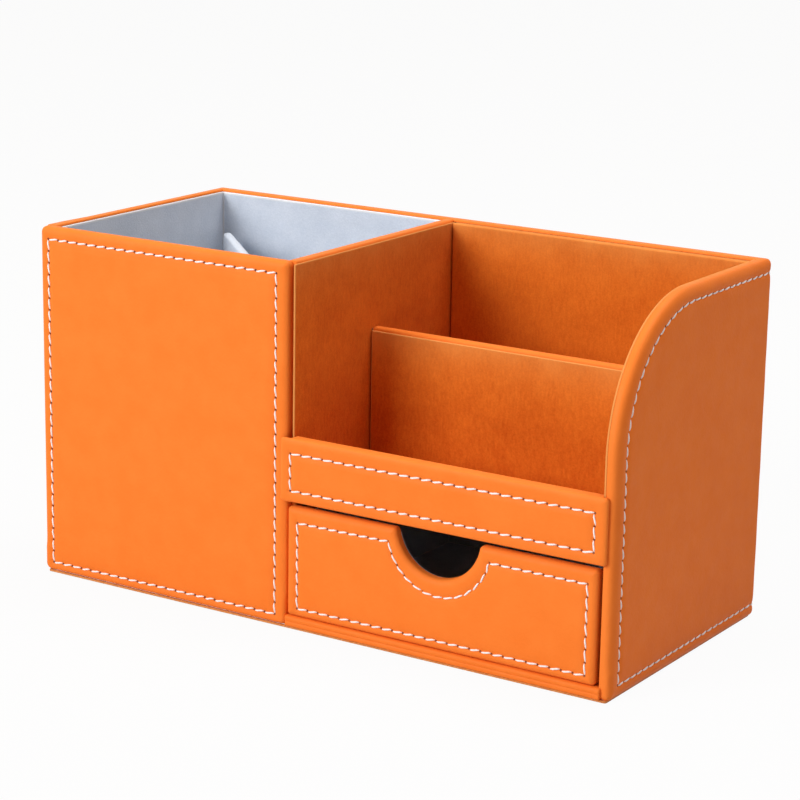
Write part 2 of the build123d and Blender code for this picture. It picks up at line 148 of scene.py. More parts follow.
def soft_lamp(name, place, size, power):
    """Hang a square area lamp at a place in metres, aimed at the middle of the box, with its watts."""
    data = bpy.data.lights.new(name, "AREA")
    data.size = size
    data.energy = power
    lamp = bpy.data.objects.new(name, data)
    back = np.array(place, float) - np.array(lit_point, float)
    right = np.cross((0, 0, 1), back)
    up = np.cross(back, right)
    axes = np.stack([v / np.linalg.norm(v) for v in (right, up, back)], axis=1)
    lamp.matrix_world = Matrix.Translation(place) @ Matrix(axes.tolist()).to_4x4()
    bpy.context.scene.collection.objects.link(lamp)


soft_lamp("key_lamp", (-0.8, -1.75, 0.95), 1.0, 36.0)
soft_lamp("fill_lamp", (1.5, -0.5, 0.7), 0.8, 1.2)
soft_lamp("top_lamp", (0.2, 0.3, 1.65), 1.0, 19.0)

# Cup front
# A board of its own with padded orange leather over its face, turned over all four edges and glued
# behind, with a row of white stitches round the face. It closes the front of the cup.

BEVEL_STEPS = 7
CORNER_STEPS = 6
PER_STITCH = 4

# Widths of the groove's two bells and of its fading out, the dip and the dark mark at each hole,
# where the mark is painted shade as well as the hole's own dark inside, the size of the soft
# unevenness, and how far the marks of the edge and of the top reach.
GROOVE_NARROW, GROOVE_WIDE, GROOVE_FADE = 0.85, 2.6, 2.0
HOLE_DIP, HOLE_WIDTH, HOLE_SHADE_REACH = 0.25, 0.7, 0.62
SWELL_SIZE, EDGE_REACH, RIM_REACH = 13.0, 1.1, 6.0


def steps(stops, counts):
    """Places along a side: evenly spaced between each two stops, with a count for each stretch."""
    spans = [np.linspace(a, b, n, endpoint=False) for a, b, n in zip(stops, stops[1:], counts)]
    return np.concatenate((*spans, [stops[-1]]))


def outline(limits, radii, across, up, top=None, left=None):
    """Closed outline of a panel as a function of its inset, with the four sides' places in it.

    It runs counter-clockwise from the bottom left corner. A side's point stands in by the inset.
    A corner of radius r shrinks to r less the inset, and past r it moves in along the diagonal.
    Points that a corner overtakes are held at its centre. The top and left sides can have their
    own forms, and with both of them there is no corner between the two.
    """
    x0, x1, z0, z1 = limits
    low_left, low_right, top_right, top_left = radii
    quarter = np.linspace(0, np.pi / 2, CORNER_STEPS)

    def held(places, low, high):
        return np.minimum(np.maximum(places, low), high)

    def corner(inset, x, z, sign_x, sign_z, radius, start):
        shift = np.maximum(radius, inset)
        left_over = np.maximum(radius - inset, 0)
        angle = start + quarter
        corner_x = x + sign_x * shift + left_over * np.cos(angle)
        corner_z = z + sign_z * shift + left_over * np.sin(angle)
        return np.stack((corner_x, corner_z), -1)

    def flat_top(inset):
        low = x0 + np.maximum(top_left, inset)
        high = x1 - np.maximum(top_right, inset)
        return np.stack((held(across[::-1] + 0 * inset, low, high), z1 - inset), -1)

    def flat_left(inset):
        low = z0 + np.maximum(low_left, inset)
        high = z1 - np.maximum(top_left, inset)
        return np.stack((x0 + inset, held(up[::-1] + 0 * inset, low, high)), -1)

    def bottom(inset):
        low = x0 + np.maximum(low_left, inset)
        high = x1 - np.maximum(low_right, inset)
        return np.stack((held(across + 0 * inset, low, high), z0 + inset), -1)

    def right(inset):
        low = z0 + np.maximum(low_right, inset)
        high = z1 - np.maximum(top_right, inset)
        return np.stack((x1 - inset, held(up + 0 * inset, low, high)), -1)

    parts = [
        (CORNER_STEPS, lambda inset: corner(inset, x0, z0, 1, 1, low_left, np.pi)),
        (len(across), bottom),
        (CORNER_STEPS, lambda inset: corner(inset, x1, z0, -1, 1, low_right, 1.5 * np.pi)),
        (len(up), right),
        (CORNER_STEPS, lambda inset: corner(inset, x1, z1, -1, -1, top_right, 0)),
        (len(across), top or flat_top),
        (CORNER_STEPS, lambda inset: corner(inset, x0, z1, 1, -1, top_left, np.pi / 2)),
        (len(up), left or flat_left),
    ]
    if top is not None and left is not None:
        parts[6] = (0, None)
    ends = np.cumsum([0] + [count for count, form in parts])

    def place(inset):
        pieces = [form(inset[:, a:b]) for (count, form), a, b in zip(parts, ends, ends[1:]) if count]
        return np.concatenate(pieces, axis=1)

    sides = [np.arange(ends[k], ends[k + 1]) for k in (1, 3, 5, 7)]
    return place, sides, ends[-1]


def outer_line(shape):
    """The outline's own points, with no inset."""
    place, sides, count = shape
    return place(np.zeros((1, count)))[0]


def waves(flat, size, seed):
    """Soft unevenness, mostly between -1 and 1: twice the mean of 14 plane waves in random directions."""
    rng = np.random.default_rng(seed)
    angle = rng.uniform(0, 2 * np.pi, 14)
    pace = 2 * np.pi / (size * rng.uniform(0.7, 1.8, 14))
    phase = rng.uniform(0, 2 * np.pi, 14)
    run = flat[..., 0, None] * np.cos(angle) * pace + flat[..., 1, None] * np.sin(angle) * pace
    return np.sin(run + phase).mean(axis=-1) * 2


def from_stitches(flat, holes):
    """Each point's distance from the row of holes, and from the nearest hole in it."""
    start, run = holes[:-1], holes[1:] - holes[:-1]
    length = np.maximum((run**2).sum(axis=1), 1e-9)
    points = flat.reshape(-1, 2)
    row, hole = [], []
    for part in np.array_split(points, max(1, len(points) // 4000)):
        off = part[:, None, :] - start
        share = np.clip((off * run).sum(axis=2) / length, 0, 1)
        row.append(np.sqrt(((off - share[..., None] * run) ** 2).sum(axis=2)).min(axis=1))
        hole.append(np.sqrt(((part[:, None, :] - holes) ** 2).sum(axis=2)).min(axis=1))
    return np.concatenate(row).reshape(flat.shape[:-1]), np.concatenate(hole).reshape(flat.shape[:-1])


def facing(side, base):
    """A panel's way into the box, and whether it is mirrored there.

    The way takes across, up and outward from the base plane to x, y, z.
    """

    def lay(across, up, out):
        forms = {
            "front": (across, base - out, up),
            "rear": (across, base + out, up),
            "right": (base + out, across, up),
            "left": (base - out, across, up),
            "up": (across, up, base + out),
            "down": (across, up, base - out),
        }
        return np.stack(forms[side], -1)

    return lay, side in ("rear", "left", "down")


def ridden(name, mesh, material, body):
    """Smooth a mesh, give it its material, and fix its object to a body."""
    mesh.polygons.foreach_set("use_smooth", np.ones(len(mesh.polygons), bool))
    mesh.materials.append(material)
    piece = bpy.data.objects.new(name, mesh)
    bpy.context.scene.collection.objects.link(piece)
    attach(piece, body)
    return piece


def make_piece(name, points, faces, material, body, replaces, marks=()):
    """Make a piece from points in millimetres, merge its doubles, and hide the solids it stands in for."""
    mesh = bpy.data.meshes.new(name)
    mesh.from_pydata((np.asarray(points, float) / 1000).tolist(), [], faces)
    for mark, values in dict(marks).items():
        layer = mesh.attributes.new(mark, "FLOAT", "POINT")
        layer.data.foreach_set("value", np.asarray(values, np.float32).ravel())
    build = bmesh.new()
    build.from_mesh(mesh)
    bmesh.ops.remove_doubles(build, verts=build.verts, dist=4e-6)
    build.to_mesh(mesh)
    build.free()
    piece = ridden(name, mesh, material, body)
    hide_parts(*replaces)
    return piece


def gone_share(line):
    """Share of a line's length that lies behind each of its points."""
    gone = np.concatenate(([0], np.cumsum(np.linalg.norm(np.diff(line, axis=0), axis=1))))
    return gone / gone[-1]


def four_sided_patch(low, high, left, right):
    """Surface between four border lines of points, as a grid that runs up and then across.

    It is the blend of the low and high lines, plus the blend of what the left and right lines
    depart from their own chords. The shares of the blend come from the lengths along the lines.
    """
    a, b = low[None, :, :], high[None, :, :]
    c, d = left[:, None, :], right[:, None, :]
    share_a, share_b = gone_share(low)[None, :, None], gone_share(high)[None, :, None]
    share_c, share_d = gone_share(left)[:, None, None], gone_share(right)[:, None, None]
    v = np.linspace(0, 1, len(left))[:, None, None]
    u = (1 - v) * share_a + v * share_b
    v = (1 - u) * share_c + u * share_d
    chord_c = (1 - share_c) * c[:1] + share_c * c[-1:]
    chord_d = (1 - share_d) * d[:1] + share_d * d[-1:]
    return (1 - v) * a + v * b + (1 - u) * (c - chord_c) + u * (d - chord_d)


def covered_panel(
    name, shape, thickness, edge, reach, way, material, body, replaces,
    edge_run=None, back_edge=0.4, tail=2.0, base=0.0, holes=None, groove=(0.35, 0.28),
    filled=True, row_step=0.45, swell=0.05, seed=1, edge_show=1.0,
):
    """Cover laid over a panel's face and turned round its edges, in fullness and grooves by formula.

    The border is a profile carried round the outline: the turned-in tail behind, a small quarter
    round, the edge wall, a quarter ellipse as deep as the edge and as wide as its run, then the face
    as far as the reach. Inside it, a filled face is the patch between its four border lines.
    The face sinks by the sum of two bells along the stitches and one at each hole, all fading out
    before the reach, and has soft unevenness. Three marks go to the material: the holes, the nearness
    of the edge, and the nearness of the top.
    """
    place, sides, count = shape
    edge = np.broadcast_to(np.asarray(edge, float), (count,))
    base = np.broadcast_to(np.asarray(base, float), (count,))
    run = edge if edge_run is None else np.broadcast_to(np.asarray(edge_run, float), (count,))
    turn = np.linspace(0, np.pi / 2, BEVEL_STEPS + 1)[:, None]
    face_rows = int(round((reach - run.min()) / row_step))
    face_share = np.linspace(0, 1, max(2, face_rows + 1))[1:, None]
    small = np.minimum(back_edge, (thickness - base) / 3)
    edge = np.minimum(edge, thickness - base - small - 0.02)
    inset = np.concatenate((
        tail + small[None, :],
        small[None, :],
        small * (1 - np.sin(turn[2:])),
        run * (1 - np.cos(turn)),
        run + (reach - run) * face_share,
    ))
    out = np.concatenate((
        base[None, :],
        base[None, :],
        base + small * (1 - np.cos(turn[2:])),
        thickness - edge + edge * np.sin(turn),
        thickness + 0 * (edge + face_share),
    ))
    rows = len(inset)
    behind = np.zeros(rows - len(turn) - len(face_share))
    on_face = np.concatenate((behind, np.sin(turn[:, 0]) ** 2, np.ones(len(face_share))))[:, None]
    flat = place(inset)
    row_mark = np.zeros((rows, count))
    if holes is not None:
        row, hole = from_stitches(flat, holes)
        sink = groove[0] * np.exp(-((row / GROOVE_NARROW) ** 2))
        sink += groove[1] * np.exp(-((row / GROOVE_WIDE) ** 2))
        sink += HOLE_DIP * np.exp(-((hole / HOLE_WIDTH) ** 2))
        fade = np.clip((reach - inset) / GROOVE_FADE, 0, 1)
        fade = fade * fade * (3 - 2 * fade)
        out = out - on_face * fade * sink
        row_mark = np.exp(-((hole / HOLE_SHADE_REACH) ** 2)) * on_face
    out = out + swell * waves(flat, SWELL_SIZE, seed) * on_face
    edge_mark = edge_show * np.exp(-((inset / EDGE_REACH) ** 2))
    index = np.arange(rows * count).reshape(rows, count)
    following = np.roll(index, -1, axis=1)
    faces = np.stack((index[:-1], following[:-1], following[1:], index[1:]), -1).reshape(-1, 4)
    if filled:
        bottom_side, right_side, top_side, left_side = sides
        low, right, high, left = bottom_side, right_side, top_side[::-1], left_side[::-1]
        ring = np.concatenate((flat[-1], out[-1][:, None]), axis=1)
        patch = four_sided_patch(ring[low], ring[high], ring[left], ring[right])
        middle = patch[1:-1, 1:-1, :2]
        middle_out = thickness + swell * waves(middle, SWELL_SIZE, seed)
        last = index[-1]
        grid = np.zeros((len(left), len(low)), int)
        grid[0], grid[-1], grid[:, 0], grid[:, -1] = last[low], last[high], last[left], last[right]
        grid[1:-1, 1:-1] = index.size + np.arange(middle_out.size).reshape(middle_out.shape)
        patch_faces = np.stack((grid[:-1, :-1], grid[:-1, 1:], grid[1:, 1:], grid[1:, :-1]), -1)
        faces = np.concatenate((faces, patch_faces.reshape(-1, 4)))
        flat = np.concatenate((flat.reshape(-1, 2), middle.reshape(-1, 2)))
        out = np.concatenate((out.ravel(), middle_out.ravel()))
        row_mark = np.concatenate((row_mark.ravel(), np.zeros(middle_out.size)))
        edge_mark = np.concatenate((edge_mark.ravel(), np.zeros(middle_out.size)))
    rim_mark = np.exp(-(flat[..., 1].max() - flat[..., 1]) / RIM_REACH)
    lay, mirrored = way
    points = lay(flat[..., 0], flat[..., 1], out).reshape(-1, 3)
    if mirrored:
        faces = faces[:, ::-1]
    marks = {"hole": row_mark, "edge": edge_mark, "rim": rim_mark}
    return make_piece(name, points, faces.tolist(), material, body, replaces, marks)


def per_metre(size):
    """Scale of a pattern whose features have a size in millimetres, on coordinates in metres."""
    return 1000 / size


def leather_material():
    """Orange coated leather, embossed with a fine grain: an even colour with very little gloss.

    The real grain is too fine to show, so its pebbles are drawn 1 mm wide, on soft creases about
    4 mm wide. Faint clouds of colour are about 11 mm wide. The leather is a little paler along
    its turned edges. Round the stitch holes it is painted dark brown, partly the holes' own dark
    inside and partly painted shade in them.
    """
    material, tree, output = empty_material("embossed_coated_leather")
    where = add_node(tree, "ShaderNodeTexCoord").outputs["Object"]
    cloud_form = {"Vector": where, "Scale": per_metre(11.11), "Detail": 4.0, "Roughness": 0.6}
    clouds = add_node(tree, "ShaderNodeTexNoise", cloud_form)
    grain_form = {"Vector": where, "Scale": per_metre(1.0), "Randomness": 1.0}
    grain = add_node(tree, "ShaderNodeTexVoronoi", grain_form)
    crease_form = {"Vector": where, "Scale": per_metre(3.846), "Detail": 4.0, "Roughness": 0.6}
    creases = add_node(tree, "ShaderNodeTexNoise", crease_form)
    hole = add_node(tree, "ShaderNodeAttribute", attribute_name="hole").outputs["Fac"]
    edge = add_node(tree, "ShaderNodeAttribute", attribute_name="edge").outputs["Fac"]
    cloud_share = add_node(tree, "ShaderNodeMapRange", {0: clouds.outputs["Fac"], 1: 0.35, 2: 0.68})
    oranges = {0: cloud_share.outputs[0], 6: linear("#F17C2C"), 7: linear("#F48131")}
    tone = add_node(tree, "ShaderNodeMix", oranges, data_type="RGBA")
    edge_share = add_node(tree, "ShaderNodeMath", {0: edge, 1: 0.35}, operation="MULTIPLY")
    paler = {0: edge_share.outputs[0], 6: tone.outputs[2], 7: linear("#F6883A")}
    paling = add_node(tree, "ShaderNodeMix", paler, data_type="RGBA")
    # Painted shade: round each stitch hole the leather is painted dark brown, partly the hole's own dark
    # inside and partly painted shade in the dip.
    hole_share = add_node(tree, "ShaderNodeMapRange", {0: hole, 1: 0.35, 2: 0.8})
    pierced = {0: hole_share.outputs[0], 6: paling.outputs[2], 7: linear("#5E302B")}
    colour = add_node(tree, "ShaderNodeMix", pierced, data_type="RGBA")
    pebbled = {0: grain.outputs["Distance"], 1: creases.outputs["Fac"]}
    pebble = add_node(tree, "ShaderNodeMath", pebbled, operation="ADD")
    relief = {"Height": pebble.outputs[0], "Strength": 0.35, "Distance": 0.00012}
    bump = add_node(tree, "ShaderNodeBump", relief)
    gloss_form = {0: creases.outputs["Fac"], 1: 0.3, 2: 0.7, 3: 0.46, 4: 0.58}
    gloss = add_node(tree, "ShaderNodeMapRange", gloss_form)
    coat = {
        "Base Color": colour.outputs[2],
        "Roughness": gloss.outputs[0],
        "IOR": 1.48,
        "Specular IOR Level": 0.1,
        "Normal": bump.outputs[0],
    }
    skin = add_node(tree, "ShaderNodeBsdfPrincipled", coat)
    tree.links.new(skin.outputs[0], output.inputs["Surface"])
    return material


def thread_material():
    """White spun polyester sewing thread: bright, a little silky, with the twist of its plies.

    The plies lie 0.4 mm apart along the stitch: that is the wave pattern's scale of 1.6 on a map
    in millimetres.
    """
    material, tree, output = empty_material("spun_polyester_thread")
    along = add_node(tree, "ShaderNodeUVMap", uv_map="twist").outputs["UV"]
    twist = {"Vector": along, "Scale": 1.6, "Distortion": 0.4}
    plies = add_node(tree, "ShaderNodeTexWave", twist, bands_direction="DIAGONAL")
    whites = {0: plies.outputs["Fac"], 6: linear("#F3F1F5"), 7: linear("#FFFFFF")}
    colour = add_node(tree, "ShaderNodeMix", whites, data_type="RGBA")
    relief = {"Height": plies.outputs["Fac"], "Strength": 0.4, "Distance": 0.0001}
    bump = add_node(tree, "ShaderNodeBump", relief)
    fibre = {
        "Base Color": colour.outputs[2],
        "Roughness": 0.55,
        "Specular IOR Level": 0.9,
        "Sheen Weight": 0.3,
        "Normal": bump.outputs[0],
    }
    yarn = add_node(tree, "ShaderNodeBsdfPrincipled", fibre)
    tree.links.new(yarn.outputs[0], output.inputs["Surface"])
    return material


# The thread's radius and the bow of a stitch to one side, the gap from its end to its hole's
# middle, how it rises and sinks, and the angle in degrees at which it lies to the row.
THREAD_RADIUS, THREAD_BOW, HOLE_GAP = 0.36, 0.06, 0.28
STITCH_RISE, STITCH_SINK = 0.26, 0.12
LIE_ANGLE, LIE_SPREAD = 7.0, 2.0


def sew(name, holes, level, way, body, seed):
    """White stitches from hole to hole: thin capsules that dip into the holes at both ends.

    Each is a tube along the line from one hole to the next, short of both by the gap, turned a
    little against the row as lockstitches lie, with an arched rise and round tips.
    """
    lay, mirrored = way
    rng = np.random.default_rng(seed)
    count = len(holes) - 1
    middle, run = (holes[:-1] + holes[1:]) / 2, holes[1:] - holes[:-1]
    length = np.sqrt((run**2).sum(axis=1))
    backward = (run[:, 0] + 0.01 * run[:, 1] < 0)[:, None]
    run = np.where(backward, -run, run)
    angle = np.arctan2(run[:, 1], run[:, 0]) + np.radians(rng.normal(LIE_ANGLE, LIE_SPREAD, count))
    share = np.array([-1, -0.9, -0.5, 0, 0.5, 0.9, 1])
    round_off = np.array([0.02, 0.62, 1, 1, 1, 0.62, 0.02])
    half = (length / 2 - HOLE_GAP) * rng.normal(1, 0.02, count)
    spin = np.linspace(0, 2 * np.pi, 6, endpoint=False)
    along = half[:, None, None] * share[None, :, None]
    side = THREAD_RADIUS * round_off[None, :, None] * np.cos(spin)[None, None, :]
    side = side + THREAD_BOW * np.sin(np.pi * share)[None, :, None]
    rise = THREAD_RADIUS * round_off[None, :, None] * np.sin(spin)[None, None, :]
    lift = level + STITCH_RISE * np.cos(0.5 * np.pi * share) ** 0.7 - STITCH_SINK
    out = lift[None, :, None] + rise
    cos, sin = np.cos(angle)[:, None, None], np.sin(angle)[:, None, None]
    x = middle[:, 0, None, None] + along * cos - side * sin
    z = middle[:, 1, None, None] + along * sin + side * cos
    points = lay(x, z, out + 0 * x).reshape(-1, 3)
    rings = len(share)
    index = np.arange(count * rings * len(spin)).reshape(count, rings, len(spin))
    turned = np.roll(index, -1, axis=2)
    tube = np.stack((index[:, :-1], turned[:, :-1], turned[:, 1:], index[:, 1:]), -1).reshape(-1, 4)
    tips = np.concatenate((index[:, 0, ::-1], index[:, -1]))
    if not mirrored:
        tube, tips = tube[:, ::-1], tips[:, ::-1]
    mesh = bpy.data.meshes.new(name)
    mesh.from_pydata((points / 1000).tolist(), [], tube.tolist() + tips.tolist())
    corners = np.zeros(len(mesh.loops), np.int32)
    mesh.loops.foreach_get("vertex_index", corners)
    twist_along, twist_round = (along + 0 * side).ravel(), np.tile(spin, count * rings) / 4
    twist = np.stack((twist_along[corners], twist_round[corners]), -1)
    mesh.uv_layers.new(name="twist").data.foreach_set("uv", twist.astype(np.float32).ravel())
    return ridden(name, mesh, thread, body)


def hole_row(stops, counts):
    """Holes along straight runs between corner points, with a stitch count for each run."""
    stops = np.array(stops, float)
    runs = [np.linspace(a, b, n, endpoint=False) for a, b, n in zip(stops, stops[1:], counts)]
    return np.concatenate((*runs, stops[-1:]))


leather = leather_material()
thread = thread_material()

# A panel counts 4.2 mm from a wall's inner side to its padded face. The stitches lie a little
# below that face. The places are those of the padded faces and of the walls' inner sides.
wall, stitch_level = 4.2, 3.62
wall_left, wall_right, wall_top = -125.3, 125.3, 137.2
inner_left, inner_right, inner_front, inner_back = -120.8, 120.8, -52.7, 52.9

cup_low, cup_right = 0.8, -10
cup_stitch_left, cup_stitch_right, cup_stitch_low, cup_stitch_high = -121.2, -15, 4.2, 132.5
cup_across = steps((wall_left, cup_stitch_left, cup_stitch_right, cup_right), (4, 23 * PER_STITCH, 5))
cup_up = steps((cup_low, cup_stitch_low, cup_stitch_high, wall_top), (4, 28 * PER_STITCH, 4))
cup_holes = hole_row(
    [
        (cup_stitch_left, cup_stitch_low), (cup_stitch_right, cup_stitch_low),
        (cup_stitch_right, cup_stitch_high), (cup_stitch_left, cup_stitch_high),
        (cup_stitch_left, cup_stitch_low),
    ],
    (23, 28, 23, 28),
)
cup_shape = outline((wall_left, cup_right, cup_low, wall_top), (2.6, 2.0, 2.0, 2.4), cup_across, cup_up)
# The edge's round is tighter along the bottom, where the leather is pulled under the board.
cup_run = np.interp(outer_line(cup_shape)[:, 1], (0.8, 9.9, 14.0), (1.8, 1.8, 3.8))
cup_front = covered_panel(
    "cup_front_padded_leather", cup_shape, wall, 2.1, 9.0, facing("front", inner_front), leather, "box",
    ["cup_front_leather"], edge_run=cup_run, holes=cup_holes, seed=11,
)
sew("cup_front_stitches", cup_holes, stitch_level, facing("front", inner_front), "box", seed=21)

# Body wrap
# One padded leather sheet goes round the right, back and left boards, is turned over their top,
# front and bottom edges, and is stitched all round. The right side's front top corner is a wide arc.

ARC_STEPS = 64
# On a side with a form of its own, the straight part ends at least this far from the corner.
CORNER_HOLD = 2.0


def round_path(path_limits, inner_limits, radius, thickness):
    """Way of a panel that runs up the right side, round the back and down the left side.

    The outer line is straight runs joined by quarter arcs. A point within 1 mm of the outer face or
    above it lies along the normal, and a deeper one on the way from there to the inner box.
    """
    right_x, left_x, front_right, front_left, back = path_limits
    inner_x0, inner_x1, inner_y = inner_limits
    quarter = np.linspace(0, np.pi / 2, 9)
    x = np.concatenate((
        [right_x], right_x - radius + radius * np.cos(quarter),
        left_x + radius - radius * np.sin(quarter), [left_x],
    ))
    y = np.concatenate((
        [front_right], back - radius + radius * np.sin(quarter),
        back - radius + radius * np.cos(quarter), [front_left],
    ))
    normal = np.concatenate(([0], quarter, quarter + np.pi / 2, [np.pi]))
    run = np.concatenate(([0], np.cumsum(np.hypot(np.diff(x), np.diff(y)))))

    def lay(across, up, out):
        face_x, face_y = np.interp(across, run, x), np.interp(across, run, y)
        turn = np.interp(across, run, normal)
        deep_x = np.clip(face_x, inner_x0, inner_x1)
        deep_y = np.minimum(face_y, inner_y)
        below = thickness - out
        skin = np.minimum(below, 1.0)
        skin_x, skin_y = face_x - skin * np.cos(turn), face_y - skin * np.sin(turn)
        depth = np.clip((below - 1.0) / (thickness - 1.0), 0, 1)
        return np.stack((
            skin_x + (deep_x - skin_x) * depth, skin_y + (deep_y - skin_y) * depth, up + 0 * face_x,
        ), -1)

    return (lay, False), run


def arched(limits, radius, across, down, arc_steps):
    """Top and left sides of a panel whose top left corner is one wide arc of shrinking radius."""
    x0, x1, z0, z1 = limits
    centre_x, centre_z = x0 + radius, z1 - radius
    arc = np.linspace(np.pi / 2, np.pi, arc_steps + 1)[1:]

    def top(inset):
        flat, bend = inset[:, : len(across)], inset[:, len(across) :]
        high = x1 - np.maximum(CORNER_HOLD, flat)
        line_x = np.minimum(np.maximum(across[::-1] + 0 * flat, centre_x), high)
        curve_x = centre_x + (radius - bend) * np.cos(arc)
        curve_z = centre_z + (radius - bend) * np.sin(arc)
        line, curve = np.stack((line_x, z1 - flat), -1), np.stack((curve_x, curve_z), -1)
        return np.concatenate((line, curve), axis=1)

    def left(inset):
        low = z0 + np.maximum(CORNER_HOLD, inset)
        return np.stack((x0 + inset, np.maximum(down[::-1] + 0 * inset, low)), -1)

    return top, left


arch_radius, wrap_front, wrap_back, wrap_low = 52.0, -55.9, 58.5, 0.3
wrap_way, wrap_run = round_path(
    (wall_right, wall_left, wrap_front, inner_front, wrap_back), (inner_left, inner_right, inner_back),
    2.0, wall,
)
wrap_length = wrap_run[-1]
wrap_limits = (0, wrap_length, wrap_low, wall_top)

# The stitches: up the front edge, round the arch, along the top, and back along the bottom.
wrap_stitch_low, wrap_stitch_high, wrap_stitch_front, wrap_end = 4.8, 132.0, 6.5, wrap_length - 6.7
arch_x, arch_z, arch_stitch_radius = 53.0, 85.5, 46.5
wrap_arc = np.linspace(np.pi, np.pi / 2, 17)
wrap_holes = np.concatenate((
    hole_row([(wrap_stitch_front, wrap_stitch_low), (wrap_stitch_front, arch_z)], [18])[:-1],
    np.stack((
        arch_x + arch_stitch_radius * np.cos(wrap_arc), arch_z + arch_stitch_radius * np.sin(wrap_arc),
    ), -1)[:-1],
    hole_row(
        [
            (arch_x, wrap_stitch_high), (wrap_end, wrap_stitch_high), (wrap_end, wrap_stitch_low),
            (wrap_stitch_front, wrap_stitch_low),
        ],
        (91, 28, 101),
    ),
))

# Places along the sheet: evenly by stitches, and at every turn of the path round the back corners.
wrap_flat = np.union1d(
    steps((arch_radius, wrap_end, wrap_length), (91 * PER_STITCH, 6)), wrap_run[1:-1]
)
wrap_flat = wrap_flat[np.concatenate(([True], np.diff(wrap_flat) > 0.12))]
wrap_up = steps((wrap_low, wrap_stitch_low, wrap_stitch_high, wall_top), (4, 28 * PER_STITCH, 5))
wrap_down = steps((wrap_low, wrap_stitch_low, wall_top - arch_radius), (4, len(wrap_up) - 5))
wrap_bottom = np.concatenate((np.linspace(0, arch_radius, ARC_STEPS, endpoint=False), wrap_flat))
wrap_top, wrap_left = arched(wrap_limits, arch_radius, wrap_flat, wrap_down, ARC_STEPS)
wrap_shape = outline(wrap_limits, (2, 1.0, 1.0, arch_radius), wrap_bottom, wrap_up, wrap_top, wrap_left)

# The edge's round is widest along the arch, smaller behind it, and least at the cup's front edge
# and along the bottom.
wrap_start = outer_line(wrap_shape)
wrap_places = (0, 100, 112, wrap_length - 22, wrap_length - 9.6)
wrap_heights = (0.3, 9.9, 14.0)
wrap_edge = np.interp(wrap_start[:, 0], wrap_places, (2.6, 2.5, 1.8, 1.8, 0.8))
wrap_edge = np.minimum(wrap_edge, np.interp(wrap_start[:, 1], wrap_heights, (2.0, 2.0, 3.0)))
wrap_spread = np.interp(wrap_start[:, 0], wrap_places, (4.5, 4.4, 2.6, 2.4, 0.8))
wrap_spread = np.minimum(wrap_spread, np.interp(wrap_start[:, 1], wrap_heights, (3.3, 3.3, 6.0)))
body_wrap = covered_panel(
    "body_wrap_padded_leather", wrap_shape, wall, wrap_edge, 9.5, wrap_way, leather, "box",
    ["body_wrap_leather"], edge_run=wrap_spread, back_edge=0.6, holes=wrap_holes, groove=(0.3, 0.16),
    seed=12,
)
sew("body_wrap_stitches", wrap_holes, stitch_level, wrap_way, "box", seed=22)

# Front rail
# A board wrapped in padded leather, stitched in a long rectangle. Its face laps over the cup
# front and the side panel by a thin flange at both ends.

rail_depth, rail_stitch_level = 4.8, 4.22
rail_x0, rail_x1, rail_z0, rail_z1 = -11.8, 122.6, 49.0, 73.0
rail_stitch_x0, rail_stitch_x1, rail_stitch_z0, rail_stitch_z1 = -7.5, 117.9, 53.2, 67.2
rail_plane = -53.3
rail_way = facing("front", rail_plane)
rail_across = steps((rail_x0, rail_stitch_x0, rail_stitch_x1, rail_x1), (4, 27 * 2 * PER_STITCH, 4))
rail_up = steps((rail_z0, rail_stitch_z0, rail_stitch_z1, rail_z1), (5, 3 * 2 * PER_STITCH, 6))
rail_shape = outline((rail_x0, rail_x1, rail_z0, rail_z1), (1.3, 1.3, 1.3, 1.3), rail_across, rail_up)
rail_holes = hole_row(
    [
        (rail_stitch_x0, rail_stitch_z0), (rail_stitch_x1, rail_stitch_z0), (rail_stitch_x1, rail_stitch_z1),
        (rail_stitch_x0, rail_stitch_z1), (rail_stitch_x0, rail_stitch_z0),
    ],
    (27, 3, 27, 3),
)
# The flanges' backs lie on the cup's front and on the right wall's front edge.
rail_start_x = outer_line(rail_shape)[:, 0]
rail_base = np.where(rail_start_x < -7.4, 3.6, np.where(rail_start_x > 120, 2.75, 0.0))
rail = covered_panel(
    "rail_padded_leather", rail_shape, rail_depth, 1.15, 8.5, rail_way, leather, "box",
    ["rail_leather"], edge_run=2.8, base=rail_base, holes=rail_holes, seed=13,
)
sew("rail_stitches", rail_holes, rail_stitch_level, rail_way, "box", seed=23)

# Drawer front
# A board with a half-round finger cut, in padded leather that is turned over the edges and
# through the cut. The stitches run round the face and dip under the cut in an arc.

front_plane = -53.0
front_limits = (-9.3, 119.4, 5.3, 46.9)
front_x0, front_x1, front_z0, front_z1 = front_limits
cut_x, cut_z, cut_r, cut_corner = 55.05, 48.9, 17.5, 1.6
cut_bend = np.linspace(0, 1, CORNER_STEPS)
cut_arc = np.linspace(0, 1, 13 * PER_STITCH + 1)


